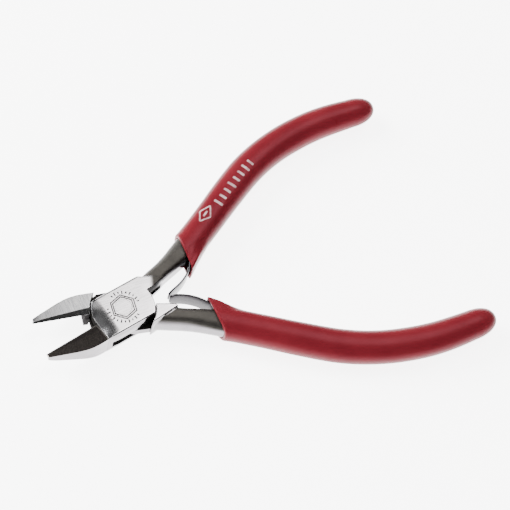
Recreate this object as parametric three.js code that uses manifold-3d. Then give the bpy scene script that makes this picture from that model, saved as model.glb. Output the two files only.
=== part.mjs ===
// Diagonal cutting pliers with a box joint, two opposed leaf springs and dipped grips.
// Millimetres. X runs along the tool's middle line from the jaws (-X) to the handle ends (+X),
// Y points to the handle of the box lever, Z is up through the joint.
// The origin is on the pivot axis, at the back face of the joint. The tool is drawn open.
import * as THREE from 'three';
import { mergeVertices } from 'three/addons/utils/BufferGeometryUtils.js';
import Module from 'manifold-3d';

const wasm = await Module();
wasm.setup();

// ---- driving dimensions -------------------------------------------------------------------
const T = 7.4;                 // joint thickness
const H = T / 2;
const OPEN = 22;               // degrees between closed and fully open
const R_CHEEK = 7.75;          // rounded ends of the cheeks, about the pivot
const R_SHOULDER = 8.05;       // hollow shoulders of the inner lever, about the pivot
const R_SLOT = 8.3;            // end of the slot inside the box
const BOX_HALF = 5.15;         // half the width of the box
const SLOT_LO = -2.15, SLOT_HI = 0.35;   // slot faces, from mid-thickness
const WEB_LO = -1.9, WEB_HI = 0.1;       // web of the inner lever
const PIN_R = 2.0;
const BORE_R = 2.1;            // bore in the cheeks
const WEB_BORE_R = 2.15;       // running bore in the web
const EDGE_GAP = 0.09;         // cutting edge to the middle line when closed
const COAT = 1.15;             // wall of the dipped grip
const FIT = 0.15;              // tang to grip
const LEAF_T = 0.45;           // leaf spring thickness
const LEAF_W = 4.8;            // leaf spring width
const TAIL = 89.0;             // where the steel tang ends

// ---- helpers --------------------------------------------------------------------------------
function solid(geo) {
  const g = geo.clone();
  for (const a of Object.keys(g.attributes)) if (a !== 'position') g.deleteAttribute(a);
  const m = mergeVertices(g, 1e-4);
  const vert = new Float32Array(m.attributes.position.array);
  return new wasm.Manifold(new wasm.Mesh({ numProp: 3, vertProperties: vert, triVerts: new Uint32Array(m.index.array) }));
}
function geometry(man) {
  const mesh = man.getMesh();
  const g = new THREE.BufferGeometry();
  g.setAttribute('position', new THREE.BufferAttribute(new Float32Array(mesh.vertProperties), 3));
  g.setIndex(new THREE.BufferAttribute(new Uint32Array(mesh.triVerts), 1));
  g.computeVertexNormals();
  return g;
}
// closed body through rings of points, each ring with the same number of points
function loft(rings, startPole = null, endPole = null) {
  const n = rings[0].length, pos = [], idx = [];
  for (const r of rings) for (const p of r) pos.push(p[0], p[1], p[2]);
  for (let i = 0; i + 1 < rings.length; i++) {
    for (let j = 0; j < n; j++) {
      const a = i * n + j, b = i * n + (j + 1) % n, c = a + n, d = b + n;
      idx.push(a, b, d, a, d, c);
    }
  }
  const cap = (base, pole, flip) => {
    let c;
    if (pole) { c = pos.length / 3; pos.push(...pole); }
    for (let j = 0; j < n; j++) {
      const a = base + j, b = base + (j + 1) % n;
      if (pole) flip ? idx.push(c, b, a) : idx.push(c, a, b);
      else if (j > 0 && j < n - 1) flip ? idx.push(base, base + j + 1, base + j) : idx.push(base, base + j, base + j + 1);
    }
  };
  cap(0, startPole, true);
  cap((rings.length - 1) * n, endPole, false);
  const g = new THREE.BufferGeometry();
  g.setAttribute('position', new THREE.BufferAttribute(new Float32Array(pos), 3));
  g.setIndex(idx);
  let v = 0;
  const P = pos;
  for (let i = 0; i < idx.length; i += 3) {
    const [a, b, c] = [idx[i] * 3, idx[i + 1] * 3, idx[i + 2] * 3];
    v += P[a] * (P[b + 1] * P[c + 2] - P[b + 2] * P[c + 1]) - P[a + 1] * (P[b] * P[c + 2] - P[b + 2] * P[c]) + P[a + 2] * (P[b] * P[c + 1] - P[b + 1] * P[c]);
  }
  if (v < 0) { for (let i = 0; i < idx.length; i += 3) [idx[i + 1], idx[i + 2]] = [idx[i + 2], idx[i + 1]]; g.setIndex(idx); }
  return g;
}
function plate(points, z0, z1) {
  const s = new THREE.Shape(points.map(p => new THREE.Vector2(p[0], p[1])));
  const g = new THREE.ExtrudeGeometry(s, { depth: z1 - z0, bevelEnabled: false, steps: 1 });
  g.translate(0, 0, z0);
  return g;
}
function cylinder(r, z0, z1, sides = 48) {
  const g = new THREE.CylinderGeometry(r, r, z1 - z0, sides);
  g.rotateX(Math.PI / 2);
  g.translate(0, 0, (z0 + z1) / 2);
  return g;
}
const rad = a => a * Math.PI / 180;
function arc(r, a0, a1, n) {
  const out = [];
  for (let i = 0; i <= n; i++) { const a = rad(a0 + (a1 - a0) * i / n); out.push([r * Math.cos(a), r * Math.sin(a)]); }
  return out;
}
const flipY = pts => pts.map(p => [p[0], -p[1], ...p.slice(2)]);
function lerpTable(tab, x, k) {
  if (x <= tab[0][0]) return tab[0][k];
  for (let i = 1; i < tab.length; i++) if (x <= tab[i][0]) {
    const [a, b] = [tab[i - 1], tab[i]], t = (x - a[0]) / (b[0] - a[0]);
    return a[k] + (b[k] - a[k]) * t;
  }
  return tab[tab.length - 1][k];
}

// ---- shank and tang, drawn for the lever whose handle is at +Y, in the closed position --------
// x, y of the centre line, half width in the plane, half thickness
const LINE = [
  [6.9, 3.05, 2.00, 3.10], [9.0, 3.22, 2.12, 3.30], [11.5, 3.66, 2.26, 3.35], [14.5, 4.35, 2.25, 3.30],
  [18.0, 5.20, 2.50, 3.15], [21.3, 6.15, 2.85, 2.95], [24.0, 7.05, 2.95, 2.80], [26.8, 8.00, 2.90, 2.75],
  [30.0, 9.20, 2.85, 2.75], [36.6, 11.90, 2.90, 2.75], [43.3, 14.70, 3.00, 2.75], [50.2, 17.35, 3.05, 2.75],
  [57.4, 19.20, 3.05, 2.75], [64.8, 20.10, 3.05, 2.75], [72.0, 20.15, 3.05, 2.75], [79.4, 19.40, 3.00, 2.70],
  [85.0, 18.35, 2.85, 2.60], [TAIL - 0.6, 17.65, 2.35, 2.20], [TAIL, 17.52, 1.60, 1.50],
];
function ringAt(c, dir, hw, hh, n, power) {
  const out = [], nx = -dir[1], ny = dir[0];
  for (let j = 0; j < n; j++) {
    const a = 2 * Math.PI * (j + 0.5) / n, ca = Math.cos(a), sa = Math.sin(a);
    const u = Math.sign(ca) * Math.pow(Math.abs(ca), 2 / power) * hw, w = Math.sign(sa) * Math.pow(Math.abs(sa), 2 / power) * hh;
    out.push([c[0] + nx * u, c[1] + ny * u, w]);
  }
  return out;
}
function dirAt(tab, i) {
  const a = tab[Math.max(0, i - 1)], b = tab[Math.min(tab.length - 1, i + 1)];
  const d = Math.hypot(b[0] - a[0], b[1] - a[1]);
  return [(b[0] - a[0]) / d, (b[1] - a[1]) / d];
}
const NSEC = 14;
const shankRings = LINE.map((p, i) => ringAt(p, dirAt(LINE, i), p[2], p[3], NSEC, i < 3 ? 4.5 : i < 6 ? 3.4 : 2.8));

// ---- jaws, drawn for the jaw at +Y --------------------------------------------------------------
// x, cutting edge height, bevel width, bevel top, outer edge y, outer top z, bottom z, relief under the edge
const JAW = [
  [-21.85, 1.50, 0.28, 1.74, 1.28, 1.82, 0.00, 0.65],
  [-20.6, 1.57, 0.48, 1.88, 1.84, 2.02, -0.60, 0.65],
  [-18.0, 1.72, 0.76, 2.12, 2.96, 2.35, -1.20, 0.65],
  [-15.5, 1.84, 0.97, 2.33, 4.02, 2.66, -1.70, 0.65],
  [-12.5, 2.00, 1.20, 2.54, 4.98, 2.96, -2.70, 0.65],
  [-10.5, 2.12, 1.37, 2.67, 5.22, 3.12, -3.40, 0.65],
  [-9.4, 2.18, 1.44, 2.75, 5.25, 3.19, -3.60, 0.65],
  [-9.2, 2.19, 1.45, 2.76, 5.25, 3.20, -3.62, 0.02],
  [-7.6, 2.28, 1.50, 2.86, 5.20, 3.30, -3.66, 0.02],
  [-5.4, 2.40, 1.56, 2.98, 5.12, 3.42, -3.68, 0.02],
];
const jawRings = JAW.map(([x, zc, bw, zb, yo, zo, zu, relief]) => {
  const th = zo - zu, ch = Math.min(0.45, th * 0.2, yo * 0.25);
  const yb = Math.min(relief * (zc - zu), yo * 0.72);
  return [
    [x, EDGE_GAP, zc], [x, EDGE_GAP + bw, zb], [x, yo - ch, zo], [x, yo, zo - ch],
    [x, yo, zu + ch], [x, yo - ch, zu], [x, EDGE_GAP + yb, zu], [x, EDGE_GAP + yb / 2, (zu + zc) / 2],
  ];
});

// ---- levers ---------------------------------------------------------------------------------------
// steel seat for the foot of the leaf spring, on the inner side of the tang
const SEAT = { x: 23.9, y: 3.62, a: 22, depth: 0.55 };
const seatU = [Math.cos(rad(SEAT.a)), Math.sin(rad(SEAT.a))], seatN = [Math.sin(rad(SEAT.a)), -Math.cos(rad(SEAT.a))];
const onSeat = (u, n) => [SEAT.x + seatU[0] * u + seatN[0] * n, SEAT.y + seatU[1] * u + seatN[1] * n];
function seatCut() {
  return plate([onSeat(-4.5, 2.4), onSeat(2.7, 2.4), onSeat(2.7, -SEAT.depth), onSeat(-2.0, -SEAT.depth), onSeat(-4.5, 0.25)], -3.6, 3.6);
}
// rivet shared by seat, leaf foot and grip: axis along seatN
function rivetBody(r, n0, n1, sides = 20) {
  const g = new THREE.CylinderGeometry(r, r, n1 - n0, sides);
  g.rotateZ(rad(SEAT.a));
  const c = onSeat(0, (n0 + n1) / 2);
  g.translate(c[0], c[1], 0);
  return g;
}
const HEAD_R = 1.35, SHANK_R = 0.7, LEAF_LIFT = 0.38;
const LEAF_N = -SEAT.depth + LEAF_LIFT + LEAF_T / 2;      // middle of the leaf foot, along seatN
const HEAD_N0 = LEAF_N + LEAF_T / 2 + 0.36, HEAD_N1 = HEAD_N0 + 0.3;
const HINGE = onSeat(0, LEAF_N);                           // where the leaf flexes about its rivet

function pin(r, sides = 48) { return cylinder(r, -H, H, sides); }

function boxLever() {
  const block = [
    [-6.6, -BOX_HALF], [5.79, -BOX_HALF], ...arc(R_CHEEK, -41.6, 6.9, 14), [9.5, 0.98], [13.2, 1.90], [7.6, BOX_HALF],
    [-5.79, BOX_HALF], ...arc(R_CHEEK, 138.4, 179.2, 12), [-6.6, -EDGE_GAP],
  ];
  const box = solid(plate(block, -H, H));
  const shank = solid(loft(shankRings));
  const jaw = solid(loft(jawRings.map(flipY)));
  let m = box.add(shank).add(jaw);
  // hollow between the flat face and the jaw
  const hollow = new THREE.ExtrudeGeometry(new THREE.Shape([[-5.5, H], [-6.3, H - 0.12], [-7.2, H - 0.42], [-8.2, H - 0.85], [-8.2, H + 2], [-5.5, H + 2]].map(p => new THREE.Vector2(...p))), { depth: 16, bevelEnabled: false, steps: 1 });
  hollow.rotateX(Math.PI / 2);
  hollow.translate(0, 8, 0);
  m = m.subtract(solid(hollow));
  m = m.subtract(solid(cylinder(R_SLOT, SLOT_LO, SLOT_HI, 96)));
  m = m.subtract(solid(cylinder(BORE_R, -H - 1, H + 1)));
  m = m.subtract(solid(seatCut()));
  m = m.subtract(solid(rivetBody(SHANK_R + 0.15, -3.0, 0.5)));
  return m;
}
function innerLever() {
  // handle side, drawn at +Y and mirrored below
  const block = [[4.5, 0.28], [R_SHOULDER, 0.28], [12.7, 1.05], [13.3, 1.75], [6.4, 4.95], [4.5, 5.1]];
  let handle = solid(plate(block, -H, H)).add(solid(loft(shankRings)));
  handle = handle.subtract(solid(seatCut())).subtract(solid(rivetBody(SHANK_R + 0.15, -3.0, 0.5)));
  let ends = solid(geometry(handle).scale(1, -1, 1).setIndex(flipIndex(geometry(handle))));
  ends = ends.add(solid(loft(jawRings)));
  ends = ends.subtract(solid(cylinder(R_SHOULDER, -H - 1, H + 1, 96)));
  const web = [
    [-8.9, EDGE_GAP + 0.06], ...arc(R_SHOULDER - 0.05, 180.8, 218.9, 10).slice(0), [6.2, -5.0], [6.9, -5.0],
    [8.9, -0.6], ...arc(R_SHOULDER - 0.05, -0.9, 39, 10), [2.0, 5.2], [-2.4, 6.25], [-5.2, 6.15], [-6.9, 5.0], [-8.3, 3.0],
  ];
  let m = ends.add(solid(plate(web, WEB_LO, WEB_HI)));
  m = m.subtract(solid(cylinder(WEB_BORE_R, -H - 1, H + 1)));
  return m;
}
function flipIndex(g) {
  const a = Array.from(g.index.array);
  for (let i = 0; i < a.length; i += 3) [a[i + 1], a[i + 2]] = [a[i + 2], a[i + 1]];
  return a;
}
function mirrored(man) {
  const g = geometry(man);
  const idx = flipIndex(g);
  g.scale(1, -1, 1);
  g.setIndex(idx);
  g.computeVertexNormals();
  return g;
}

// ---- leaf spring: path in the plane, from the foot to the free end ----------------------------------
const LEAF_PATH = [
  onSeat(1.55, LEAF_N), onSeat(0.5, LEAF_N), onSeat(-0.8, LEAF_N), onSeat(-1.9, LEAF_N + 0.12), [21.05, 1.42], [19.8, 0.42], [18.5, -0.38],
  [17.0, -1.05], [15.5, -1.50], [14.2, -1.75], [13.1, -1.93], [12.3, -2.02],
];
function leaf(path) {
  // constant thickness strip
  const left = [], right = [];
  path.forEach((p, i) => {
    const d = dirAt(path, i);
    left.push([p[0] - d[1] * LEAF_T / 2, p[1] + d[0] * LEAF_T / 2]);
    right.push([p[0] + d[1] * LEAF_T / 2, p[1] - d[0] * LEAF_T / 2]);
  });
  let m = solid(plate([...left, ...right.reverse()], -LEAF_W / 2, LEAF_W / 2));
  // the free end narrows with rounded corners: cut by two corner prisms
  for (const s of [-1, 1]) {
    const c = new THREE.Shape([[10.5, 1.35 * s], [11.9, 1.35 * s], [12.9, 2.0 * s], [14.4, 2.45 * s], [14.4, 4 * s], [10.5, 4 * s]].map(p => new THREE.Vector2(...p)));
    const g = new THREE.ExtrudeGeometry(c, { depth: 10, bevelEnabled: false, steps: 1 });
    g.rotateX(Math.PI / 2);
    g.translate(0, 4, 0);
    m = m.subtract(solid(g));
  }
  m = m.subtract(solid(rivetBody(SHANK_R + 0.2, LEAF_N - 1, LEAF_N + 1)));
  return m;
}

function rivet() {
  return solid(rivetBody(SHANK_R, -2.7, HEAD_N0 + 0.1)).add(solid(rivetBody(HEAD_R, HEAD_N0, HEAD_N1, 24)));
}

// ---- grip: dipped sleeve over the tang, closed at the far end ------------------------------------------
// x, y, half width, half thickness of the outside
const GRIP = [
  [20.2, 5.62, 4.10, 3.90], [22.6, 6.35, 4.15, 3.95], [24.4, 6.95, 4.10, 3.90], [26.8, 7.85, 4.02, 3.85], [30.0, 9.15, 4.00, 3.85],
  [33.3, 10.50, 4.02, 3.85], [36.6, 11.90, 4.05, 3.85], [40.0, 13.35, 4.12, 3.85], [43.3, 14.70, 4.18, 3.85], [46.8, 16.10, 4.22, 3.85], [50.2, 17.35, 4.24, 3.85],
  [53.8, 18.40, 4.24, 3.85], [57.4, 19.20, 4.22, 3.85], [61.0, 19.75, 4.22, 3.85], [64.8, 20.10, 4.24, 3.85], [68.4, 20.20, 4.24, 3.85],
  [72.0, 20.15, 4.22, 3.85], [75.8, 19.88, 4.18, 3.85], [79.4, 19.40, 4.12, 3.80], [83.0, 18.75, 4.02, 3.70], [86.6, 18.00, 3.86, 3.55],
  [89.8, 17.42, 3.50, 3.25], [91.9, 17.12, 2.80, 2.65], [93.1, 16.98, 1.85, 1.75],
];
function grip() {
  const outer = GRIP.map((p, i) => ringAt(p, dirAt(GRIP, i), p[2], p[3], 18, 2.25));
  let m = solid(loft(outer, null, [93.75, 16.92, 0]));
  const inner = LINE.slice(3).map((p, k) => ringAt(p, dirAt(LINE, k + 3), p[2] + FIT, p[3] + FIT, NSEC, 2.8));
  m = m.subtract(solid(loft(inner, null, [TAIL + FIT, 17.48, 0])));
  // raised lip that covers the root of the leaf spring
  const tongue = plate([onSeat(-4.15, 1.5), onSeat(-3.6, 0.0), onSeat(2.5, -1.2), onSeat(3.4, 1.0), onSeat(1.5, 1.38), onSeat(-0.9, 1.8), onSeat(-3.0, 2.08), onSeat(-4.0, 2.16), onSeat(-4.2, 1.9)], -3.35, 3.35);
  const room = plate([onSeat(-6.5, 2.15), onSeat(-6.5, -3.2), onSeat(2.25, -3.2), onSeat(2.25, 0.6), onSeat(1.6, 1.05), onSeat(-1.6, 1.1), onSeat(-2.6, 1.15), onSeat(-3.6, 1.4), onSeat(-5.0, 1.95)], -2.75, 2.75);
  m = m.add(solid(tongue).subtract(solid(loft(inner, null, [TAIL + FIT, 17.48, 0]))).subtract(solid(plate([onSeat(-7, -6), onSeat(4, -6), onSeat(4, -1.3), onSeat(-7, -1.3)], -5, 5))));
  m = m.subtract(solid(room)).subtract(solid(loft(inner, null, [TAIL + FIT, 17.48, 0])));
  // the mouth is cut nearly square to the tool, so it slants across the handle
  m = m.subtract(solid(plate([[15, -3], [20.9, -3], [21.1, 1.0], [21.75, 3.8], [22.4, 7.0], [23.3, 10.4], [23.7, 12.5], [15, 14]], -6, 6)));
  const parts = m.decompose();
  parts.sort((a, b) => b.volume() - a.volume());
  return parts[0];
}

// ---- assembly -----------------------------------------------------------------------------------------
const steel = new THREE.MeshStandardMaterial({ color: 0xc9c6c1, roughness: 0.22, metalness: 1.0 });
const springSteel = new THREE.MeshStandardMaterial({ color: 0xaeaab0, roughness: 0.25, metalness: 1.0 });
const vinyl = new THREE.MeshStandardMaterial({ color: 0x9c2730, roughness: 0.25, metalness: 0.0 });

function mesh(name, geo, material) {
  const m = new THREE.Mesh(geo, material);
  m.name = name;
  return m;
}
const tool = new THREE.Group();
tool.position.z = H;

const upper = new THREE.Group();
upper.rotation.z = rad(OPEN / 2);
upper.add(mesh('box_lever', geometry(boxLever()), steel));
upper.add(mesh('joint_pin', geometry(solid(pin(PIN_R))), steel));
upper.add(mesh('upper_leaf_spring', geometry(leaf(LEAF_PATH)), springSteel));
upper.add(mesh('upper_spring_rivet', geometry(rivet()), springSteel));
upper.add(mesh('upper_grip', geometry(grip()), vinyl));
tool.add(upper);

const lower = new THREE.Group();
lower.rotation.z = -rad(OPEN / 2);
lower.add(mesh('inner_lever', geometry(innerLever()), steel));
lower.add(mesh('lower_leaf_spring', mirrored(leaf(LEAF_PATH)), springSteel));
lower.add(mesh('lower_spring_rivet', mirrored(rivet()), springSteel));
lower.add(mesh('lower_grip', mirrored(grip()), vinyl));
tool.add(lower);

const part = new THREE.Group();
part.add(tool);
export default part;
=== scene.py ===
"""Looks for the diagonal cutting pliers: box-joint levers, leaf springs, dipped grips.
Shapes are drawn in millimetres in the closed lever frame (pivot at the origin, z = 0 at
mid-thickness, handle at +Y), then turned to the open position and scaled to metres."""
import math

import bpy
import numpy as np
from mathutils import Matrix, Quaternion, Vector


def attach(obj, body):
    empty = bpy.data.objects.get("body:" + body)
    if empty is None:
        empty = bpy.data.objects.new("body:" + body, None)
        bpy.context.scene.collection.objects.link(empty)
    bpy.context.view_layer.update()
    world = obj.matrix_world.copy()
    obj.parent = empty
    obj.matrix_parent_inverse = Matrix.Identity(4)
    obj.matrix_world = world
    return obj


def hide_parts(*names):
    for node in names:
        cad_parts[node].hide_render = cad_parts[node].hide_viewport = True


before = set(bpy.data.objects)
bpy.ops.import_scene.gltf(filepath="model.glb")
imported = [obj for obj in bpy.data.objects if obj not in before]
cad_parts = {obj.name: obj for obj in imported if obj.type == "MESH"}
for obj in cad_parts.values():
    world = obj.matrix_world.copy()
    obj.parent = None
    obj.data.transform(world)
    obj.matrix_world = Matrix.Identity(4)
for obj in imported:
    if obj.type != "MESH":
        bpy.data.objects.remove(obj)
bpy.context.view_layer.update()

# ---------------------------------------------------------------- camera
cam_data = bpy.data.cameras.new("camera")
cam = bpy.data.objects.new("camera", cam_data)
bpy.context.scene.collection.objects.link(cam)
bpy.context.scene.camera = cam
_rv = Vector((0.4682079354892767, -0.28330099828295546, -0.39228896440380745))
cam.matrix_world = Matrix.Translation((-0.09542687, -0.14121415, 0.32948343)) @ Quaternion(_rv.normalized(), _rv.length).to_matrix().to_4x4()
cam_data.sensor_width = 36
cam_data.lens = 36 * 1505.4627 / 510
cam_data.clip_start = 0.01
cam_data.clip_end = 20

# ---------------------------------------------------------------- dimensions (mm)
H = 3.7
OPEN = 22.0
R_CHEEK, R_SHOULDER, R_SLOT = 7.75, 8.05, 8.3
BOX_HALF = 5.15
PIN_R = 2.0
EDGE_GAP = 0.09
LEAF_T, LEAF_W = 0.45, 4.8
TAIL = 89.0
SEAT_X, SEAT_Y, SEAT_A, SEAT_D = 23.9, 3.62, math.radians(22), 0.55
LEAF_N = -SEAT_D + 0.38 + LEAF_T / 2
HEAD_N0 = LEAF_N + LEAF_T / 2 + 0.36
HEAD_N1 = HEAD_N0 + 0.3
SU = np.array([math.cos(SEAT_A), math.sin(SEAT_A)])
SN = np.array([math.sin(SEAT_A), -math.cos(SEAT_A)])


def on_seat(u, n):
    return [SEAT_X + SU[0] * u + SN[0] * n, SEAT_Y + SU[1] * u + SN[1] * n]


LINE = np.array([
    [6.9, 3.05, 2.00, 3.10], [9.0, 3.22, 2.12, 3.30], [11.5, 3.66, 2.26, 3.35], [14.5, 4.35, 2.25, 3.30],
    [18.0, 5.20, 2.50, 3.15], [21.3, 6.15, 2.85, 2.95], [24.0, 7.05, 2.95, 2.80], [26.8, 8.00, 2.90, 2.75],
    [30.0, 9.20, 2.85, 2.75], [36.6, 11.90, 2.90, 2.75], [43.3, 14.70, 3.00, 2.75], [50.2, 17.35, 3.05, 2.75],
    [57.4, 19.20, 3.05, 2.75], [64.8, 20.10, 3.05, 2.75], [72.0, 20.15, 3.05, 2.75], [79.4, 19.40, 3.00, 2.70],
    [85.0, 18.35, 2.85, 2.60], [88.4, 17.65, 2.35, 2.20], [89.0, 17.52, 1.60, 1.50]])
# x, edge z, bevel width, bevel top z, outer y, outer top z, bottom z
JAW = np.array([
    [-21.85, 1.50, 0.28, 1.74, 1.28, 1.82, 0.00], [-20.6, 1.57, 0.48, 1.88, 1.84, 2.02, -0.60],
    [-18.0, 1.72, 0.76, 2.12, 2.96, 2.35, -1.20], [-15.5, 1.84, 0.97, 2.33, 4.02, 2.66, -1.70],
    [-12.5, 2.00, 1.20, 2.54, 4.98, 2.96, -2.70], [-10.5, 2.12, 1.37, 2.67, 5.22, 3.12, -3.40],
    [-9.4, 2.18, 1.44, 2.75, 5.25, 3.19, -3.60], [-7.6, 2.28, 1.50, 2.86, 5.20, 3.30, -3.66],
    [-5.4, 2.40, 1.56, 2.98, 5.12, 3.42, -3.68]])
GRIP = np.array([
    [18.6, 5.10, 4.02, 3.85], [20.2, 5.62, 4.06, 3.88], [22.6, 6.35, 4.10, 3.90], [24.4, 6.95, 4.08, 3.88], [26.8, 7.85, 4.02, 3.85], [30.0, 9.15, 4.00, 3.85],
    [33.3, 10.50, 4.02, 3.85], [36.6, 11.90, 4.05, 3.85], [40.0, 13.35, 4.12, 3.85], [43.3, 14.70, 4.18, 3.85], [46.8, 16.10, 4.22, 3.85], [50.2, 17.35, 4.24, 3.85],
    [53.8, 18.40, 4.24, 3.85], [57.4, 19.20, 4.22, 3.85], [61.0, 19.75, 4.22, 3.85], [64.8, 20.10, 4.24, 3.85], [68.4, 20.20, 4.24, 3.85],
    [72.0, 20.15, 4.22, 3.85], [75.8, 19.88, 4.18, 3.85], [79.4, 19.40, 4.12, 3.80], [83.0, 18.75, 4.02, 3.70], [86.6, 18.00, 3.86, 3.55]])


def rad(a):
    return a * math.pi / 180


def arc(r, a0, a1, n):
    return [[r * math.cos(rad(a0 + (a1 - a0) * i / n)), r * math.sin(rad(a0 + (a1 - a0) * i / n))] for i in range(n + 1)]


# ---------------------------------------------------------------- distance functions
def dense(tab, step=0.05, soft=0.8):
    """Smooth curves through a table's columns, sampled finely; returns x and one row per column."""
    x = tab[:, 0]
    xs = np.arange(x[0], x[-1] + step / 2, step)
    out = []
    for k in range(1, tab.shape[1]):
        y = tab[:, k]
        h = np.diff(x)
        s = np.diff(y) / h
        m = np.zeros(len(x))
        m[1:-1] = (s[:-1] * h[1:] + s[1:] * h[:-1]) / (h[1:] + h[:-1])
        m[0], m[-1] = s[0], s[-1]
        i = np.clip(np.searchsorted(x, xs, side="right") - 1, 0, len(h) - 1)
        t = (xs - x[i]) / h[i]
        v = (2 * t**3 - 3 * t**2 + 1) * y[i] + (t**3 - 2 * t**2 + t) * h[i] * m[i] + (3 * t**2 - 2 * t**3) * y[i + 1] + (t**3 - t**2) * h[i] * m[i + 1]
        n = int(soft / step)
        if n > 1:
            w = np.hanning(2 * n + 3)[1:-1]
            w /= w.sum()
            pad = np.r_[2 * v[0] - v[n:0:-1], v, 2 * v[-1] - v[-2:-n - 2:-1]]
            v = np.convolve(pad, w, "valid")
        out.append(v)
    return xs, out


class Sweep:
    """A bar of superelliptic section along a curve in the plane."""

    def __init__(self, tab, power):
        self.x, (self.y, self.hw, self.hh) = dense(tab)
        self.dy = np.gradient(self.y, self.x)
        self.px, self.pp = [p[0] for p in power], [p[1] for p in power]

    def station(self, x, y):
        s = np.clip(x, self.x[0], self.x[-1])
        for _ in range(6):
            yc, dy = np.interp(s, self.x, self.y), np.interp(s, self.x, self.dy)
            s = np.clip(s + 0.8 * (x + (y - yc) * dy - s), self.x[0], self.x[-1])
        yc, dy = np.interp(s, self.x, self.y), np.interp(s, self.x, self.dy)
        c = 1 / np.sqrt(1 + dy * dy)
        return s, (y - yc) * c - (x - s) * dy * c, (x - s) * c + (y - yc) * dy * c

    def __call__(self, x, y, z, grow=0.0):
        s, u, along = self.station(x, y)
        hw, hh = np.interp(s, self.x, self.hw) + grow, np.interp(s, self.x, self.hh) + grow
        p = np.interp(s, self.px, np.array(self.pp)[:, 0]) * (u > 0) + np.interp(s, self.px, np.array(self.pp)[:, 1]) * (u <= 0)
        return self.section(u, z, hw, hh, p), s, u, along

    @staticmethod
    def section(u, z, hw, hh, p):
        a, b = np.maximum(np.abs(u) / hw, 1e-4), np.maximum(np.abs(z) / hh, 1e-4)
        g = (a**p + b**p) ** (1 / p)
        gu, gz = (a / g) ** (p - 1) / hw, (b / g) ** (p - 1) / hh
        return (g - 1) / np.sqrt(gu * gu + gz * gz)


def poly(x, y, v):
    v = np.asarray(v, float)
    d = np.full(x.shape, 1e9)
    s = np.ones(x.shape)
    for i in range(len(v)):
        ax, ay = v[i]
        bx, by = v[i - 1]
        ex, ey = bx - ax, by - ay
        wx, wy = x - ax, y - ay
        t = np.clip((wx * ex + wy * ey) / (ex * ex + ey * ey), 0, 1)
        qx, qy = wx - ex * t, wy - ey * t
        d = np.minimum(d, qx * qx + qy * qy)
        c1, c2, c3 = wy >= 0, y < by, ex * wy > ey * wx
        s = np.where((c1 & c2 & c3) | (~c1 & ~c2 & ~c3), -s, s)
    return s * np.sqrt(d)


def rmax(a, b, r):
    """Intersection with an edge rounded to radius r."""
    return np.minimum(np.maximum(a, b), -r) + np.hypot(np.maximum(a + r, 0), np.maximum(b + r, 0))


def rmin(a, b, r):
    """Union with a fillet of radius r."""
    return np.maximum(np.minimum(a, b), r) - np.hypot(np.maximum(r - a, 0), np.maximum(r - b, 0))


def step(t):
    t = np.clip(t, 0, 1)
    return t * t * (3 - 2 * t)


# section powers: outer side, inner side
shank = Sweep(LINE, [(6.9, (2.6, 5.0)), (16, (2.4, 4.6)), (21.5, (2.4, 3.6)), (26, (2.8, 2.8)), (89, (2.8, 2.8))])
coat = Sweep(GRIP, [(18, (2.35, 2.35)), (40, (2.3, 2.3)), (88, (2.1, 2.1))])
jx, (j_zc, j_bw, j_zb, j_yo, j_zo, j_zu) = dense(JAW, soft=1.1)


def jaw(x, y, z):
    """The jaw at +Y: cutting edge near the front, bevel, face, outer side and relieved inner wall."""
    s = np.clip(x, jx[0], jx[-1])
    zc, bw, zb, yo, zo, zu = (np.interp(s, jx, c) for c in (j_zc, j_bw, j_zb, j_yo, j_zo, j_zu))
    # face through the bevel's top edge and the outer edge
    c = (zo - zb) / (yo - EDGE_GAP - bw)
    face = (z - (zb + c * (y - EDGE_GAP - bw))) / np.sqrt(1 + c * c)
    k = (zb - zc) / bw
    bevel = (z - (zc + k * (y - EDGE_GAP))) / np.sqrt(1 + k * k)
    relief = np.where(x < -9.3, 0.65, 0.02)
    yb = np.minimum(relief * (zc - zu), yo * 0.72)
    m = yb / (zc - zu)
    wall = (EDGE_GAP + m * (zc - z) - y) / np.sqrt(1 + m * m)
    outer = (y - yo) * 0.93
    d = rmax(face, outer, 0.05)
    d = rmax(d, (zu - z) * 0.95, 0.4)
    d = np.maximum(d, bevel)
    d = np.maximum(d, wall)
    d = rmax(d, jx[0] - x, 0.1)
    return np.maximum(d, x - jx[-1])


BLOCK = [[-7.6, -BOX_HALF], [5.79, -BOX_HALF], *arc(R_CHEEK, -41.6, 6.9, 24), [9.5, 0.98], [13.2, 1.90], [7.6, BOX_HALF],
         [-5.79, BOX_HALF], *arc(R_CHEEK, 138.4, 179.2, 20), [-7.6, -EDGE_GAP]]
INNER = [[4.5, 0.28], [R_SHOULDER, 0.28], [12.7, 1.05], [13.3, 1.75], [6.4, 4.95], [4.5, 5.1]]
WEB = [[-9.3, EDGE_GAP + 0.06], *arc(R_SHOULDER - 0.05, 180.8, 218.9, 14), [-5.0, -4.3], [-0.6, -4.3], [1.0, -5.05], [6.15, -5.15], [6.9, -5.0], [8.9, -0.6],
       *arc(R_SHOULDER - 0.05, -0.9, 39, 14), [2.0, 5.2], [-2.4, 6.25], [-5.2, 6.15], [-6.9, 5.0], [-8.7, 3.0]]

GROOVE = [[6.9, -1.0], [6.9, 1.9], [8.6, 2.15], [13.3, 1.72], [13.3, -1.0]]


def seat_cut(x, y, z):
    p = poly(x, y, [on_seat(-4.5, 2.4), on_seat(2.7, 2.4), on_seat(2.7, -SEAT_D), on_seat(-2.0, -SEAT_D), on_seat(-4.5, 0.25)])
    u, n = (x - SEAT_X) * SU[0] + (y - SEAT_Y) * SU[1], (x - SEAT_X) * SN[0] + (y - SEAT_Y) * SN[1]
    hole = np.maximum(np.hypot(u, z) - 0.85, np.abs(n + 1.25) - 1.75)
    return np.minimum(np.maximum(p, np.abs(z) - 3.6), hole)


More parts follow.
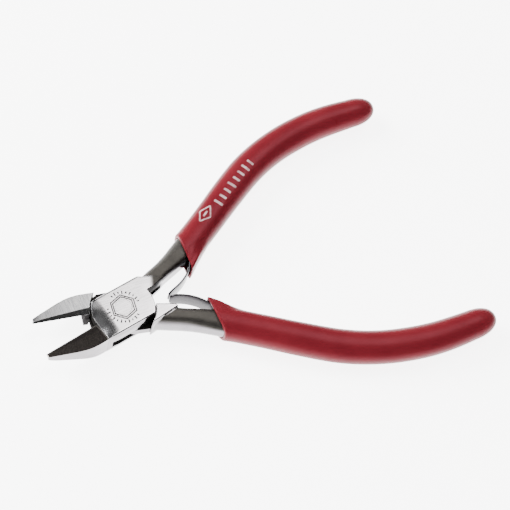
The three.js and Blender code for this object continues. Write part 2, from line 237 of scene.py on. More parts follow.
def crown(x, y):
    """Height of the box lever's front: flat at the joint, rolling off to the jaw and to the inner corner by the handle."""
    t = np.clip((-4.0 - x) / 3.7, 0, 1.3)
    top = H - (0.84 - 0.44 * step((np.abs(y + 0.2) - 1.5) / 3.6)) * t * t * (1.5 - 0.5 * t)
    t = np.maximum(0.755 * (x - 8.5) - 0.656 * (y - 0.81), 0)
    return top - 0.30 * t * t / (t + 0.9) * step((y - 0.4) / 0.5)


def mark(x, y):
    """A plain pattern stamped round the pivot: nested hexagons and a ring of short ticks."""
    r, a = np.hypot(x, y), np.arctan2(y, x)
    w = math.pi / 3
    b = np.mod(a - 0.2, w) - w / 2
    hexa = r * np.cos(b)
    d = np.minimum(np.abs(hexa - 2.40) - 0.13, np.abs(hexa - 2.86) - 0.13)
    n = 26
    k = np.floor(a / (2 * math.pi / n))
    t = np.mod(a, 2 * math.pi / n) - math.pi / n
    tick = np.maximum(np.abs(r * np.sin(t)) - 0.15, np.abs(r * np.cos(t) - 3.95) - np.where(np.mod(k, 2) == 0, 0.42, 0.25))
    return np.minimum(d, np.where((k > -5) & (k < -1) | (k > 7) & (k < 11), 1.0, tick))


def swell(x, z, a, b):
    """Stretch of the side walls: they belly out below the flat faces."""
    t = np.clip((np.abs(z) - 1.9) / 1.9, 0, 1)
    return 1 + step((x + 9.0) / 5.0) * step((b - x) / a) * (-0.10 + 0.55 * np.sqrt(np.maximum(1 - t * t, 0))) / BOX_HALF


def f_box(x, y, z):
    top = crown(x, y)
    d = rmax(poly(x, y / swell(x, z, 2.6, 9.2), BLOCK), np.maximum((z - top) * 0.98, -z - H), np.where(x < -6.5, 0.08, 0.26))
    d = rmin(d, shank(x, y, z)[0] + np.maximum(6.9 - x, 0), 0.3)
    d = rmin(d, np.maximum(jaw(x, -y, z), np.minimum((z - top) * 0.98 - 0.01, x + 7.7)), 0.05)
    rho = np.hypot(x, y)
    d = rmax(d, -np.maximum(rho - R_SLOT, np.abs(z + 0.9) - 1.25), 0.07)
    d = np.maximum(d, 2.05 - rho)
    d = rmax(d, -np.maximum(poly(x, y, GROOVE), np.abs(z + 0.75) - 1.3), 0.07)
    d = rmax(d, -seat_cut(x, y, z), 0.05)
    return np.maximum(d, -np.maximum(mark(x, y), top - 0.14 - z))


def f_inner(x, y, z):
    q = -y
    d = rmax(poly(x, q / swell(x, z, 3.5, 11.5), INNER), np.abs(z) - H, 0.26)
    d = rmin(d, shank(x, q, z)[0] + np.maximum(6.9 - x, 0), 0.3)
    d = rmax(d, -seat_cut(x, q, z), 0.05)
    j = jaw(x, y, z)
    rho = np.hypot(x, y)
    d = np.minimum(d, j)
    d = rmax(d, R_SHOULDER - rho, 0.08)
    d = rmin(d, np.maximum(poly(x, y, WEB), np.abs(z + 0.9) - 1.0), 0.1)
    return np.maximum(d, 2.15 - rho)


TONGUE = [on_seat(-4.0, 1.55), on_seat(-3.6, 0.0), on_seat(2.5, -1.4), on_seat(6.0, -2.0), on_seat(7.5, -0.9), on_seat(4.2, 0.62), on_seat(1.5, 1.28), on_seat(-0.9, 1.74), on_seat(-3.0, 2.04), on_seat(-3.9, 2.1), on_seat(-4.05, 1.9)]
ROOM = [on_seat(-6.5, 2.15), on_seat(-6.5, -3.2), on_seat(2.25, -3.2), on_seat(2.25, 0.6), on_seat(1.6, 1.0), on_seat(-1.6, 1.07), on_seat(-2.6, 1.15), on_seat(-3.6, 1.4), on_seat(-5.0, 1.95)]
MOUTH = [[12, -4], [20.9, -4], [21.12, 1.0], [21.75, 3.8], [22.4, 7.0], [23.3, 10.4], [23.7, 13.5], [12, 16]]
_ss, (_s0, _s1, _s2) = dense(np.array([[84.0, 3.98, 3.68, 0], [86.6, 3.86, 3.55, 0], [89.8, 3.50, 3.25, 0], [91.9, 2.80, 2.65, 0], [93.1, 1.85, 1.75, 0], [93.75, 0.05, 0.05, 0]]), soft=0)


def f_grip(x, y, z):
    d, s, u, along = coat(x, y, z)
    # rounded end beyond the last station
    over = np.where(s > coat.x[-1] - 1e-6, np.maximum(along, 0), 0)
    nose = ((np.abs(u) / 3.86) ** 2.1 + (np.abs(z) / 3.55) ** 2.1 + 1e-9) ** (1 / 2.1)
    nose = (nose**2.3 + (over / 7.2) ** 2.3) ** (1 / 2.3)
    d = np.where(over > 0, (nose - 1) * 3.4, d)
    along_seat = (x - SEAT_X) * SU[0] + (y - SEAT_Y) * SU[1]
    tongue = rmax(poly(x, y, TONGUE), np.abs(z) - 3.3 + 1.5 * step((along_seat + 1.0) / 6.0), 0.6)
    d = rmin(d, tongue, 1.2)
    inner = shank(x, y, z, grow=0.12)
    cav = np.maximum(inner[0], x - TAIL - 0.12)
    lip = -poly(x, y, MOUTH)
    d = rmax(d, lip * -1.0 * -1.0, 0.3)
    d = rmax(d, -np.maximum(poly(x, y, ROOM), np.abs(z) - 2.75), 0.1)
    return rmax(d, -cav, 0.12)


# ---------------------------------------------------------------- surface from a distance function
def axis(*runs):
    """Grid lines: runs of (end, spacing) from a start value."""
    out = [runs[0]]
    for end, h in runs[1:]:
        n = max(1, int(round((end - out[-1]) / h)))
        out += list(np.linspace(out[-1], end, n + 1)[1:])
    return np.array(out, float)


def contour(f, X, Y, Z, stride=4):
    """Dual contouring with sharp features on a rectilinear grid. Returns vertices and triangles."""
    def pad(A):
        extra = (-(len(A) - 1)) % stride
        return np.r_[A, A[-1] + (A[-1] - A[-2]) * np.arange(1, extra + 1)]
    X, Y, Z = pad(X), pad(Y), pad(Z)
    nx, ny, nz = len(X), len(Y), len(Z)
    cx, cy, cz = X[::stride], Y[::stride], Z[::stride]
    G = np.meshgrid(cx, cy, cz, indexing="ij")
    C = f(*(g.ravel() for g in G)).reshape(G[0].shape)
    mn = np.abs(C)
    low = np.minimum.reduce([mn[i:len(cx) - 1 + i, j:len(cy) - 1 + j, k:len(cz) - 1 + k] for i in (0, 1) for j in (0, 1) for k in (0, 1)])
    diag = np.sqrt(np.diff(cx)[:, None, None] ** 2 + np.diff(cy)[None, :, None] ** 2 + np.diff(cz)[None, None, :] ** 2)
    act = low < diag * 0.9 + 0.05
    F = np.repeat(np.repeat(np.repeat(C[:-1, :-1, :-1], stride, 0), stride, 1), stride, 2)
    F = np.pad(F, ((0, 1), (0, 1), (0, 1)), mode="edge")
    M = np.repeat(np.repeat(np.repeat(act, stride, 0), stride, 1), stride, 2)
    need = np.zeros((nx, ny, nz), bool)
    for i in (0, 1):
        for j in (0, 1):
            for k in (0, 1):
                need[i:nx - 1 + i, j:ny - 1 + j, k:nz - 1 + k] |= M
    idx = np.argwhere(need)
    val = np.empty(len(idx))
    for a in range(0, len(idx), 200000):
        q = idx[a:a + 200000]
        val[a:a + 200000] = f(X[q[:, 0]], Y[q[:, 1]], Z[q[:, 2]])
    F[idx[:, 0], idx[:, 1], idx[:, 2]] = val
    inside = F < 0
    grid = (X, Y, Z)
    # crossings
    P, N, cells, quads = [], [], [], []
    for ax in range(3):
        sl0, sl1 = [slice(None)] * 3, [slice(None)] * 3
        sl0[ax], sl1[ax] = slice(0, -1), slice(1, None)
        ch = inside[tuple(sl0)] != inside[tuple(sl1)]
        e = np.argwhere(ch)
        lo = [grid[k][e[:, k]] for k in range(3)]
        hi = [g.copy() for g in lo]
        hi[ax] = grid[ax][e[:, ax] + 1]
        f0 = F[e[:, 0], e[:, 1], e[:, 2]]
        e1 = e.copy(); e1[:, ax] += 1
        f1 = F[e1[:, 0], e1[:, 1], e1[:, 2]]
        a, b = lo[ax].copy(), hi[ax].copy()
        fa, fb = f0.copy(), f1.copy()
        for it in range(4):
            t = fa / (fa - fb) if it % 2 == 0 else np.full(len(fa), 0.5)
            m = a + (b - a) * np.clip(t, 0.02, 0.98)
            q = list(lo); q[ax] = m
            fm = f(*q)
            same = (fm < 0) == (fa < 0)
            a, fa = np.where(same, m, a), np.where(same, fm, fa)
            b, fb = np.where(same, b, m), np.where(same, fb, fm)
        q = list(lo); q[ax] = a + (b - a) * np.clip(fa / (fa - fb), 0, 1)
        p = np.stack(q, 1)
        h = 0.012
        g = np.zeros_like(p)
        for k in ((1, -1, -1), (-1, -1, 1), (-1, 1, -1), (1, 1, 1)):
            k = np.array(k, float)
            g += k * f(p[:, 0] + k[0] * h, p[:, 1] + k[1] * h, p[:, 2] + k[2] * h)[:, None]
        g /= np.linalg.norm(g, axis=1, keepdims=True) + 1e-12
        P.append(p); N.append(g)
        o1, o2 = [(1, 2), (2, 0), (0, 1)][ax]
        ring = []
        for d1, d2 in ((0, 0), (-1, 0), (-1, -1), (0, -1)):
            c = e.copy(); c[:, o1] += d1; c[:, o2] += d2
            ring.append((c[:, 0] * ny + c[:, 1]) * nz + c[:, 2])
        cells.append(np.stack(ring, 1))
        qd = np.stack(ring, 1)
        neg = f0 < 0
        qd[~neg] = qd[~neg][:, ::-1]
        quads.append(qd)
    P, N, cells, quads = np.concatenate(P), np.concatenate(N), np.concatenate(cells), np.concatenate(quads)
    ids, inv = np.unique(cells.ravel(), return_inverse=True)
    inv = inv.reshape(-1)
    rep = np.repeat(np.arange(len(P)), 4)
    n = len(ids)
    cnt = np.bincount(inv, minlength=n)
    mass = np.stack([np.bincount(inv, P[rep, k], n) for k in range(3)], 1) / cnt[:, None]
    Nr, Pr = N[rep], P[rep] - mass[inv]
    A = np.zeros((n, 3, 3))
    B = np.zeros((n, 3))
    dp = (Nr * Pr).sum(1)
    for i in range(3):
        B[:, i] = np.bincount(inv, Nr[:, i] * dp, n)
        for j in range(i, 3):
            A[:, i, j] = A[:, j, i] = np.bincount(inv, Nr[:, i] * Nr[:, j], n)
    A[:, [0, 1, 2], [0, 1, 2]] += 0.03
    V = mass + np.linalg.solve(A, B[:, :, None])[:, :, 0]
    ci = np.stack([ids // (ny * nz), (ids // nz) % ny, ids % nz], 1)
    for k in range(3):
        g0, g1 = grid[k][ci[:, k]], grid[k][np.minimum(ci[:, k] + 1, len(grid[k]) - 1)]
        V[:, k] = np.clip(V[:, k], g0, g1)
    Q = np.searchsorted(ids, quads)
    m1, m2 = (V[Q[:, 0]] + V[Q[:, 2]]) / 2, (V[Q[:, 1]] + V[Q[:, 3]]) / 2
    e1, e2 = np.abs(f(m1[:, 0], m1[:, 1], m1[:, 2])), np.abs(f(m2[:, 0], m2[:, 1], m2[:, 2]))
    first = (e1 <= e2)[:, None]
    T = np.concatenate([np.where(first, Q[:, [0, 1, 2]], Q[:, [0, 1, 3]]), np.where(first, Q[:, [0, 2, 3]], Q[:, [1, 2, 3]])])
    return V, T


def make(name, V, T, side, body, cad, slot, sharp=38, finish_and_shade=None):
    """Mesh from the closed lever frame (mm) to the open tool (m). side is +1 for the box lever, -1 for the inner lever."""
    a = rad(OPEN / 2) * side
    W = np.stack([V[:, 0] * math.cos(a) - V[:, 1] * math.sin(a), V[:, 0] * math.sin(a) + V[:, 1] * math.cos(a), V[:, 2] + H], 1) / 1000
    me = bpy.data.meshes.new(name)
    me.from_pydata(W.tolist(), [], T.tolist())
    me.validate()
    ob = bpy.data.objects.new(name, me)
    bpy.context.scene.collection.objects.link(ob)
    if finish_and_shade is not None:
        f, keys = finish_and_shade
        # painted shade: vertices whose normal points sideways get a weight that darkens their base colour in the steel
        # material
        up = (f(V[:, 0], V[:, 1], V[:, 2] + 0.05) - f(V[:, 0], V[:, 1], V[:, 2] - 0.05)) / 0.1
        for key, vals in {**keys(V), "painted_side_shade": 1 - step((up - 0.15) / 0.5)}.items():
            at = me.attributes.new(key, "FLOAT", "POINT")
            at.data.foreach_set("value", np.asarray(vals, np.float32))
    me.shade_smooth()
    if sharp:
        me.set_sharp_from_angle(angle=rad(sharp))
    if body:
        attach(ob, body)
    if cad:
        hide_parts(*cad)
    return ob


def box_finish_and_shade(V):
    # per-vertex weights for the steel: real finishes (ground jaw face, satin shank, stamped pattern) and painted shade
    # in the slot, on walls, crease, arc edge and jaw face
    x, y, z = V.T
    rho = np.hypot(x, y)
    line = 5.15 - 0.585 * (x - 7.6)
    # the first two terms mark the shank's darker satin finish; the third paints shade onto the face in the inner corner
    # by the handle
    satin_and_shade = step((y - line - 0.1) / 0.5) * step((x - 8.0) / 0.8)
    satin_and_shade = np.maximum(satin_and_shade, step((x - 12.6) / 0.6)) * step((z - 0.6) / 1.4)
    satin_and_shade = np.maximum(satin_and_shade, step((0.85 * x - 0.52 * y - 6.5) / 1.3) * step((y - 0.3) / 0.3) * (x > 8.6) * (x < 13.4) * (z > 2.2))
    top = crown(x, y)
    # the stamped pattern's own dark fill
    stamp = np.clip((0.05 - mark(x, y)) / 0.05, 0, 1) * (z > 3.4) * (z < top - 0.035)
    # painted shade inside the slot between the cheeks
    slot = (rho < R_SLOT + 0.05) * (z > -2.2) * (z < 0.4) * (np.abs(y) < 5.0)
    # painted shade on the cheek arc walls and on the walls under the notch by the handle
    wall = (rho < R_CHEEK + 0.04) * (rho > R_CHEEK - 0.3) * (z < top - 0.16) * (z > 0.3) * (np.abs(y) < 5.0) * ((x > 5) | ((x < -5) & (y > 0)))
    wall = np.maximum(wall, (z < top - 0.12) * (y < 1.25 + 0.25 * np.maximum(x - 9.5, 0)) * (y > 0.4) * step((x - 7.3) / 0.4) * step((13.3 - x) / 3.0) * (z > 0.5) * 0.8)
    wall = np.maximum(wall, (z > -2.1) * (z < 0.6) * (x > 7.2) * (x < 13.3) * (y < 2.3) * (y > 1.04 + 0.2 * np.maximum(x - 9.3, 0)))
    # painted shade along the crease at the jaw's root, hiding its glints
    crease = (z > 1.2) * (np.abs(x + 7.7) < 0.16) * 0.55 * step((y + 5.0) / 0.3)
    crease = np.maximum(crease, (z > 1.2) * (np.abs(x + 7.7) < 0.35) * (z < top - 0.012) * (np.abs(y) < 4.6) * 0.85)
    # painted shade on the cheek's arc edge beside the jaw
    edge = (x < -5.6) * (y > -0.4) * (rho > R_CHEEK - 0.32) * (z > 1.5) * (z < top - 0.012) * 0.85
    wall = np.maximum(wall, np.maximum(crease, edge))
    # the last weight paints shade onto this lever's jaw face, darker than the other jaw of the same steel
    return {"satin_and_shade": satin_and_shade, "stamp_and_shade": np.maximum(stamp, np.maximum(slot, wall)), "ground": step((-4.2 - x) / 1.6) * (z > 0.8), "painted_jaw_shade": step((-7.4 - x) / 0.5)}


def inner_finish_and_shade(V):
    # per-vertex weights for the steel: the shank's satin finish, ground jaw face, and painted shade on the web,
    # shoulder walls and heel
    x, y, z = V.T
    rho = np.hypot(x, y)
    line = 4.95 - 0.464 * (x - 6.4)
    satin_and_shade = step((-y - line - 0.1) / 0.5) * step((x - 7.0) / 0.8)
    satin_and_shade = np.maximum(satin_and_shade, step((x - 12.8) / 0.6)) * step((z - 0.6) / 1.4)
    # painted shade on the web under the box lever's cheeks
    web = (rho < R_SHOULDER) * (z > -2.0) * ((z > 0.03) | (x < 0.9) | (y > 0))
    # painted shade on the shoulder arc walls
    wall = (rho < R_SHOULDER + 0.06) * (z < 3.5) * (z > 0.0)
    # painted shade on the jaw's heel at the end of the web
    heel = (x > -9.7) * (x < -6.5) * (y > -0.6) * (z < 2.1) * (y < 0.5 + 0.9 * (2.1 - z))
    heel = np.maximum(heel, (x > -9.9) * (x < -9.0) * (np.abs(y) < 3.5) * (z < 0.4) * (z > -3.0))
    return {"satin_and_shade": satin_and_shade, "stamp_and_shade": np.maximum(np.maximum(web, wall), heel * 0.9), "ground": step((-6.2 - x) / 0.4) * (z > 0.8), "painted_jaw_shade": 0 * x}


def mirror(V, T):
    return V * np.array([1, -1, 1]), T[:, ::-1]


# ---------------------------------------------------------------- node helpers
def material(name):
    m = bpy.data.materials.new(name)
    m.use_nodes = True
    nt = m.node_tree
    nt.nodes.clear()
    out = nt.nodes.new("ShaderNodeOutputMaterial")
    bs = nt.nodes.new("ShaderNodeBsdfPrincipled")
    nt.links.new(bs.outputs[0], out.inputs[0])
    return m, nt, bs


def node(nt, kind, **vals):
    n = nt.nodes.new(kind)
    for k, v in vals.items():
        if hasattr(n, k):
            setattr(n, k, v)
        else:
            n.inputs[k].default_value = v
    return n


def noise(nt, vec, scale, detail=3.0, rough=0.5, stretch=None):
    if stretch is not None:
        mp = node(nt, "ShaderNodeMapping")
        mp.inputs["Scale"].default_value = stretch
        nt.links.new(vec, mp.inputs["Vector"])
        vec = mp.outputs[0]
    n = node(nt, "ShaderNodeTexNoise", Scale=scale, Detail=detail, Roughness=rough)
    nt.links.new(vec, n.inputs["Vector"])
    return n.outputs["Fac"]


def ramp(nt, fac, stops):
    r = nt.nodes.new("ShaderNodeValToRGB")
    while len(r.color_ramp.elements) < len(stops):
        r.color_ramp.elements.new(0.5)
    for e, (p, c) in zip(r.color_ramp.elements, stops):
        e.position = p
        e.color = (c, c, c, 1) if isinstance(c, (int, float)) else (*c, 1)
    nt.links.new(fac, r.inputs[0])
    return r.outputs[0]


def mix(nt, fac, a, b, kind="RGBA"):
    n = nt.nodes.new("ShaderNodeMix")
    n.data_type = kind
    k = {"RGBA": (6, 7, 2), "FLOAT": (2, 3, 0)}[kind]
    for sock, v in ((n.inputs[0], fac), (n.inputs[k[0]], a), (n.inputs[k[1]], b)):
        if isinstance(v, (int, float)):
            sock.default_value = v
        elif isinstance(v, tuple):
            sock.default_value = (*v, 1)
        else:
            nt.links.new(v, sock)
    return n.outputs[k[2]]


def attribute(nt, name):
    n = nt.nodes.new("ShaderNodeAttribute")
    n.attribute_name = name
    return n.outputs["Fac"]


def steel_material():
    m, nt, bs = material("polished_steel")
    o = nt.nodes.new("ShaderNodeTexCoord").outputs["Object"]
    # the second weight is the stamp's dark fill plus painted shade; the first is the satin finish plus a painted shade
    # patch
    satin_and_shade, stamp_and_shade, ground = attribute(nt, "satin_and_shade"), attribute(nt, "stamp_and_shade"), attribute(nt, "ground")
    cloud = noise(nt, o, 260, 3, 0.55)
    fine = noise(nt, o, 1400, 2, 0.5, (0.25, 1.6, 1.0))
    cross = noise(nt, o, 1500, 3, 0.6, (1.8, 0.16, 1.0))
    col = ramp(nt, cloud, [(0.3, (0.34, 0.328, 0.338)), (0.7, (0.40, 0.387, 0.397))])
    satin = ramp(nt, cloud, [(0.3, (0.050, 0.0465, 0.0425)), (0.7, (0.068, 0.0635, 0.058))])
    rub = ramp(nt, cross, [(0.3, (0.25, 0.253, 0.265)), (0.7, (0.37, 0.368, 0.372))])
    col = mix(nt, ground, col, rub)
    # painted shade: darker colour for the box lever's jaw face
    col = mix(nt, attribute(nt, "painted_jaw_shade"), col, ramp(nt, cross, [(0.3, (0.120, 0.106, 0.098)), (0.7, (0.165, 0.148, 0.138))]))
    # dark satin colour for the shank, also painting shade on the notch patch
    col = mix(nt, satin_and_shade, col, satin)
    # painted shade: darker base colour for sideways-facing walls
    side_shade_colour = ramp(nt, cloud, [(0.3, (0.150, 0.139, 0.148)), (0.7, (0.195, 0.182, 0.193))])
    col = mix(nt, attribute(nt, "painted_side_shade"), col, side_shade_colour)
    # near-black, non-metallic, rougher: the stamp's dark fill and painted shade in slot, walls, crease, web and heel
    col = mix(nt, stamp_and_shade, col, (0.011, 0.0105, 0.010))
    nt.links.new(col, bs.inputs["Base Color"])
    nt.links.new(mix(nt, stamp_and_shade, 1.0, 0.0, "FLOAT"), bs.inputs["Metallic"])
    bs.inputs["Specular IOR Level"].default_value = 0.0
    rg = ramp(nt, fine, [(0.25, 0.13), (0.75, 0.21)])
    rg = mix(nt, ground, rg, 0.19, "FLOAT")
    rg = mix(nt, satin_and_shade, rg, 0.58, "FLOAT")
    rg = mix(nt, stamp_and_shade, rg, 0.6, "FLOAT")
    nt.links.new(rg, bs.inputs["Roughness"])
    hgt = mix(nt, ground, fine, cross, "FLOAT")
    bp = node(nt, "ShaderNodeBump", Strength=0.16, Distance=0.00005)
    nt.links.new(hgt, bp.inputs["Height"])
    nt.links.new(bp.outputs[0], bs.inputs["Normal"])
    return m


def spring_material():
    m, nt, bs = material("spring_steel")
    o = nt.nodes.new("ShaderNodeTexCoord").outputs["Object"]
    fine = noise(nt, o, 900, 2, 0.5, (0.2, 0.2, 2.5))
    col = ramp(nt, fine, [(0.3, (0.027, 0.0252, 0.0276)), (0.7, (0.038, 0.0357, 0.0388))])
    nt.links.new(col, bs.inputs["Base Color"])
    bs.inputs["Metallic"].default_value = 1.0
    nt.links.new(ramp(nt, fine, [(0.2, 0.2), (0.8, 0.32)]), bs.inputs["Roughness"])
    bp = node(nt, "ShaderNodeBump", Strength=0.1, Distance=0.00004)
    nt.links.new(fine, bp.inputs["Height"])
    nt.links.new(bp.outputs[0], bs.inputs["Normal"])
    return m


def vinyl_material():
    m, nt, bs = material("dipped_vinyl")
    o = nt.nodes.new("ShaderNodeTexCoord").outputs["Object"]
    cloud = noise(nt, o, 90, 2, 0.5)
    col = ramp(nt, cloud, [(0.3, (0.110, 0.0092, 0.0140)), (0.7, (0.136, 0.0120, 0.0175))])
    nt.links.new(col, bs.inputs["Base Color"])
    wav = noise(nt, o, 170, 2, 0.45)
    nt.links.new(ramp(nt, wav, [(0.3, 0.27), (0.7, 0.35)]), bs.inputs["Roughness"])
    bs.inputs["Specular IOR Level"].default_value = 0.085
    bs.inputs["Specular Tint"].default_value = (1.0, 0.38, 0.48, 1)
    bp = node(nt, "ShaderNodeBump", Strength=0.25, Distance=0.0001)
    nt.links.new(wav, bp.inputs["Height"])
    nt.links.new(bp.outputs[0], bs.inputs["Normal"])
    return m


STEEL, SPRING, VINYL = steel_material(), spring_material(), vinyl_material()

# ---------------------------------------------------------------- levers
LX = axis(-22.3, (-10, 0.2), (-8.6, 0.16), (-6.8, 0.1), (-4.6, 0.18), (4.6, 0.1), (14, 0.2), (26, 0.28), (34, 0.6), (90, 1.2))
LY = axis(-6.2, (-4.6, 0.18), (4.6, 0.1), (6, 0.16), (11, 0.2), (24, 0.45))
LZ = axis(-4.0, (3.36, 0.2), (3.86, 0.08))
V, T = contour(f_box, LX, LY, LZ)
box_lever = make("box_lever_steel", V, T, 1, "box_half", ["box_lever"], "polished_steel", finish_and_shade=(f_box, box_finish_and_shade))
box_lever.data.materials.append(STEEL)
LY2 = axis(-24.0, (-11, 0.45), (-6, 0.2), (-5, 0.15), (6.3, 0.14))
LX2 = axis(-22.3, (-10, 0.17), (5, 0.15), (14, 0.12), (26, 0.2), (34, 0.5), (90, 1.0))
LZ2 = axis(-4.0, (3.2, 0.16), (3.84, 0.11))
V, T = contour(f_inner, LX2, LY2, LZ2)
inner_lever = make("inner_lever_steel", V, T, -1, "inner_half", ["inner_lever"], "polished_steel", finish_and_shade=(f_inner, inner_finish_and_shade))
inner_lever.data.materials.append(STEEL)

# ---------------------------------------------------------------- grips
GX = axis(19.5, (30, 0.22), (86, 0.4), (94.6, 0.22))
GY = axis(-0.5, (12, 0.22), (25.2, 0.3))
GZ = axis(-4.3, (4.3, 0.22))
V, T = contour(f_grip, GX, GY, GZ)
upper_grip = make("upper_grip_vinyl", V, T, 1, "box_half", ["upper_grip"], "dipped_vinyl", 60)
lower_grip = make("lower_grip_vinyl", *mirror(V, T), -1, "inner_half", ["lower_grip"], "dipped_vinyl", 60)
for g in (upper_grip, lower_grip):
    g.data.materials.append(VINYL)

# ---------------------------------------------------------------- plain printed marks on the upper grip
def on_coat(sv, lift):
    """Points on the grip's front: station along the handle and offset across it."""
    sv = np.asarray(sv, float)
    yc, hw, hh = (np.interp(sv[:, 0], coat.x, c) for c in (coat.y, coat.hw, coat.hh))
    dy = np.interp(sv[:, 0], coat.x, coat.dy)
    c = 1 / np.sqrt(1 + dy * dy)
    p = np.interp(sv[:, 0], coat.px, np.array(coat.pp)[:, 0])
    z = hh * (1 - (np.abs(sv[:, 1]) / hw) ** p) ** (1 / p)
    return np.stack([sv[:, 0] - dy * c * sv[:, 1], yc + c * sv[:, 1], z + lift], 1)


def stroke(a, b, width, n=10):
    """A thin raised bar of print from a to b."""
    a, b = np.array(a, float), np.array(b, float)
    d = (b - a) / np.linalg.norm(b - a)
    side = np.array([-d[1], d[0]]) * width / 2
    t = np.linspace(0, 1, n)[:, None]
    rows = [on_coat(a + (b - a) * t + k * side, lift) for k, lift in ((-1, -0.08), (-1, 0.025), (0, 0.03), (1, 0.025), (1, -0.08))]
    V = np.stack(rows, 1).reshape(-1, 3)
    T = []
    for i in range(n - 1):
        for k in range(5):
            p, q = i * 5 + k, i * 5 + (k + 1) % 5
            T += [[p, q, q + 5], [p, q + 5, p + 5]]
    e = (n - 1) * 5
    T += [[0, 3, 4], [0, 1, 3], [1, 2, 3], [e, e + 4, e + 3], [e, e + 3, e + 1], [e + 1, e + 3, e + 2]]
    V, T = V, np.array(T)
    vol = (V[T[:, 0]] * np.cross(V[T[:, 1]], V[T[:, 2]])).sum()
    return V, (T if vol > 0 else T[:, ::-1])


loz = [(30.2, 0.75), (32.7, 2.35), (35.3, 1.0), (32.7, -0.8)]
marks = [(loz[k], loz[(k + 1) % 4], 0.36) for k in range(4)]
marks += [((31.9, 0.8), (33.6, 0.8), 0.5)]
marks += [((37.2 + 2.05 * k, -1.25 if k % 3 else -1.5), (37.2 + 2.05 * k, 0.75 if k % 3 else 1.0), 0.62) for k in range(8)]
PV, PT, off = [], [], 0
for a, b, w in marks:
    v, t = stroke(a, b, w)
    PV.append(v)
    PT.append(t + off)
    off += len(v)
grip_print = make("upper_grip_print", np.concatenate(PV), np.concatenate(PT), 1, "box_half", None, "dipped_vinyl", 60)
m, nt, bs = material("print_white")
o = nt.nodes.new("ShaderNodeTexCoord").outputs["Object"]
nt.links.new(ramp(nt, noise(nt, o, 900, 3, 0.6), [(0.35, (0.30, 0.13, 0.14)), (0.65, (0.52, 0.38, 0.38))]), bs.inputs["Base Color"])
bs.inputs["Roughness"].default_value = 0.5
grip_print.data.materials.append(m)

# ---------------------------------------------------------------- leaf springs
LEAF = [on_seat(1.55, LEAF_N), on_seat(0.5, LEAF_N), on_seat(-0.8, LEAF_N), on_seat(-1.9, LEAF_N + 0.12), [21.05, 1.42], [19.8, 0.42],
        [18.5, -0.38], [17.0, -1.05], [15.5, -1.5], [14.2, -1.75], [13.1, -1.93], [12.3, -2.02]]


def smooth_path(points, n=12):
    p = np.array(points, float)
    q = np.vstack([2 * p[0] - p[1], p, 2 * p[-1] - p[-2]])
    out = []
    for k in range(1, len(q) - 2):
        for t in np.arange(n) / n:
            out.append(0.5 * (2 * q[k] + (q[k + 1] - q[k - 1]) * t + (2 * q[k - 1] - 5 * q[k] + 4 * q[k + 1] - q[k + 2]) * t * t + (3 * q[k] - q[k - 1] - 3 * q[k + 1] + q[k + 2]) * t**3))
    return np.array(out + [p[-1]])


def leaf_mesh(points, flip):
    """A strip with rounded edges and a rounded free end, swept along a path in the plane."""
    P = smooth_path(points)
    L = np.r_[0, np.cumsum(np.hypot(*np.diff(P, axis=0).T))]
    tan = np.gradient(P, L, axis=0)
    tan /= np.linalg.norm(tan, axis=1)[:, None]
    nor = np.stack([-tan[:, 1], tan[:, 0]], 1)
    left = L[-1] - L
    ring_n = 28
    V, T = [], []
    for k in range(len(P)):
        e = min(left[k] / 2.1, 1)
        w = LEAF_W / 2 * (0.42 + 0.58 * math.sqrt(max(1 - (1 - e) ** 2, 0)))
        th = LEAF_T / 2 * (0.55 + 0.45 * math.sqrt(max(1 - (1 - min(left[k] / 0.25, 1)) ** 2, 0)))
        r = min(0.16, th)
        for q in range(ring_n):
            # rounded rectangle: w across, th through
            a = 2 * math.pi * q / ring_n + 0.11
            ca, sa = math.cos(a), math.sin(a)
            side = round((a / (math.pi / 2)) - 0.5) % 4
            cx, cz = (1, 1, -1, -1)[side], (1, -1, -1, 1)[(side + 3) % 4]
            cz = 1 if sa > 0 else -1
            cx = 1 if ca > 0 else -1
            u = cx * (th - r) + r * ca
            z = cz * (w - r) + r * sa
            V.append([P[k, 0] + nor[k, 0] * u, P[k, 1] + nor[k, 1] * u, z])
    for k in range(len(P) - 1):
        for q in range(ring_n):
            a, b = k * ring_n + q, k * ring_n + (q + 1) % ring_n
            c, d = a + ring_n, b + ring_n
            T += [[a, b, d], [a, d, c]]
    for k, order in ((0, 1), (len(P) - 1, -1)):
        V.append([P[k, 0], P[k, 1], 0])
        c = len(V) - 1
        for q in range(ring_n):
            a, b = k * ring_n + q, k * ring_n + (q + 1) % ring_n
            T.append([c, b, a] if order > 0 else [c, a, b])
    V, T = np.array(V), np.array(T)
    vol = (V[T[:, 0]] * np.cross(V[T[:, 1]], V[T[:, 2]])).sum()
    return V, (T if vol > 0 else T[:, ::-1])


LV, LT = leaf_mesh(LEAF, False)
upper_leaf = make("upper_leaf_steel", LV, LT, 1, "upper_leaf", ["upper_leaf_spring"], "spring_steel", 50)
lower_leaf = make("lower_leaf_steel", *mirror(LV, LT), -1, "lower_leaf", ["lower_leaf_spring"], "spring_steel", 50)
for g in (upper_leaf, lower_leaf):
    g.data.materials.append(SPRING)

# ---------------------------------------------------------------- remaining CAD nodes
for n, m in (("joint_pin", STEEL), ("upper_spring_rivet", SPRING), ("lower_spring_rivet", SPRING)):
    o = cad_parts[n]
    o.data.materials.clear()
    o.data.materials.append(m)

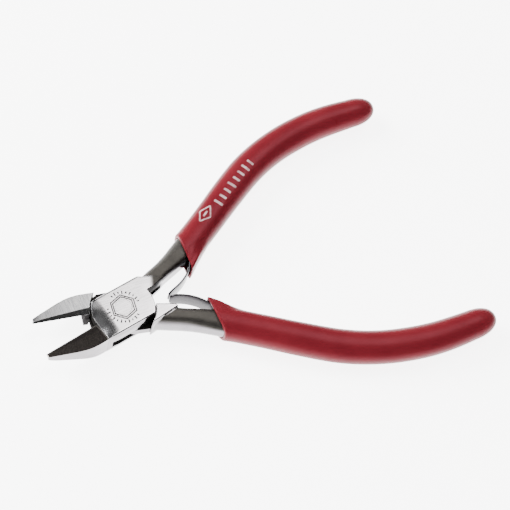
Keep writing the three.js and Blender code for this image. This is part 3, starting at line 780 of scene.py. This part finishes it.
# ---------------------------------------------------------------- floor, light
fl = bpy.data.meshes.new("floor")
fl.from_pydata([(-2, -2, 0), (2, -2, 0), (2, 2, 0), (-2, 2, 0)], [], [(0, 1, 2, 3)])
floor = bpy.data.objects.new("floor", fl)
floor.location.z = -0.0003
bpy.context.scene.collection.objects.link(floor)
m, nt, bs = material("floor_white")
nt.links.new(ramp(nt, noise(nt, nt.nodes.new("ShaderNodeTexCoord").outputs["Object"], 8), [(0.3, 0.90), (0.7, 0.91)]), bs.inputs["Base Color"])
bs.inputs["Roughness"].default_value = 0.9
bs.inputs["Emission Color"].default_value = (1, 1, 1, 1)
bs.inputs["Emission Strength"].default_value = 6.2
fl.materials.append(m)

world = bpy.data.worlds.new("studio")
bpy.context.scene.world = world
world.use_nodes = True
wt = world.node_tree
bg = wt.nodes["Background"]
wdir = wt.nodes.new("ShaderNodeTexCoord").outputs["Generated"]


def toward(direction, lo, hi):
    """A soft round patch of sky: 0 beyond angle lo, 1 within angle hi (degrees)."""
    d = Vector(direction).normalized()
    vm = node(wt, "ShaderNodeVectorMath", operation="DOT_PRODUCT")
    wt.links.new(wdir, vm.inputs[0])
    vm.inputs[1].default_value = d
    mr = node(wt, "ShaderNodeMapRange", interpolation_type="SMOOTHSTEP")
    mr.inputs["From Min"].default_value = math.cos(rad(lo))
    mr.inputs["From Max"].default_value = math.cos(rad(hi))
    wt.links.new(vm.outputs["Value"], mr.inputs["Value"])
    return mr.outputs[0]


def math_node(op, a, b):
    n = node(wt, "ShaderNodeMath", operation=op)
    for k, v in enumerate((a, b)):
        if isinstance(v, (int, float)):
            n.inputs[k].default_value = v
        else:
            wt.links.new(v, n.inputs[k])
    return n.outputs[0]


# dark overhead, one soft box, and pale walls low down
sky = math_node("ADD", 0.09, math_node("MULTIPLY", 12.0, toward((0.42, 0.22, 0.88), 18, 9)))
sky = math_node("ADD", sky, math_node("MULTIPLY", 3.2, toward((0.17, 0.12, 0.98), 15, 6)))
sky = math_node("ADD", sky, math_node("MULTIPLY", 6.0, toward((0.0, 0.0, -1.0), 97, 76)))
wt.links.new(sky, bg.inputs[1])
bg.inputs[0].default_value = (1.0, 0.985, 0.965, 1)


def area(name, direction, dist, size, power, roll=0.0, shape="RECTANGLE"):
    li = bpy.data.lights.new(name, "AREA")
    li.shape = shape
    li.size, li.size_y = size
    li.energy = power
    ob = bpy.data.objects.new(name, li)
    bpy.context.scene.collection.objects.link(ob)
    d = Vector(direction).normalized()
    ob.location = Vector((0.02, 0, 0)) + d * dist
    q = (-d).to_track_quat("-Z", "Y")
    ob.rotation_euler = (q @ Quaternion((0, 0, 1), roll)).to_euler()
    return ob


area("broad", (-0.55, 0.65, 0.52), 0.9, (0.6, 0.6), 27)
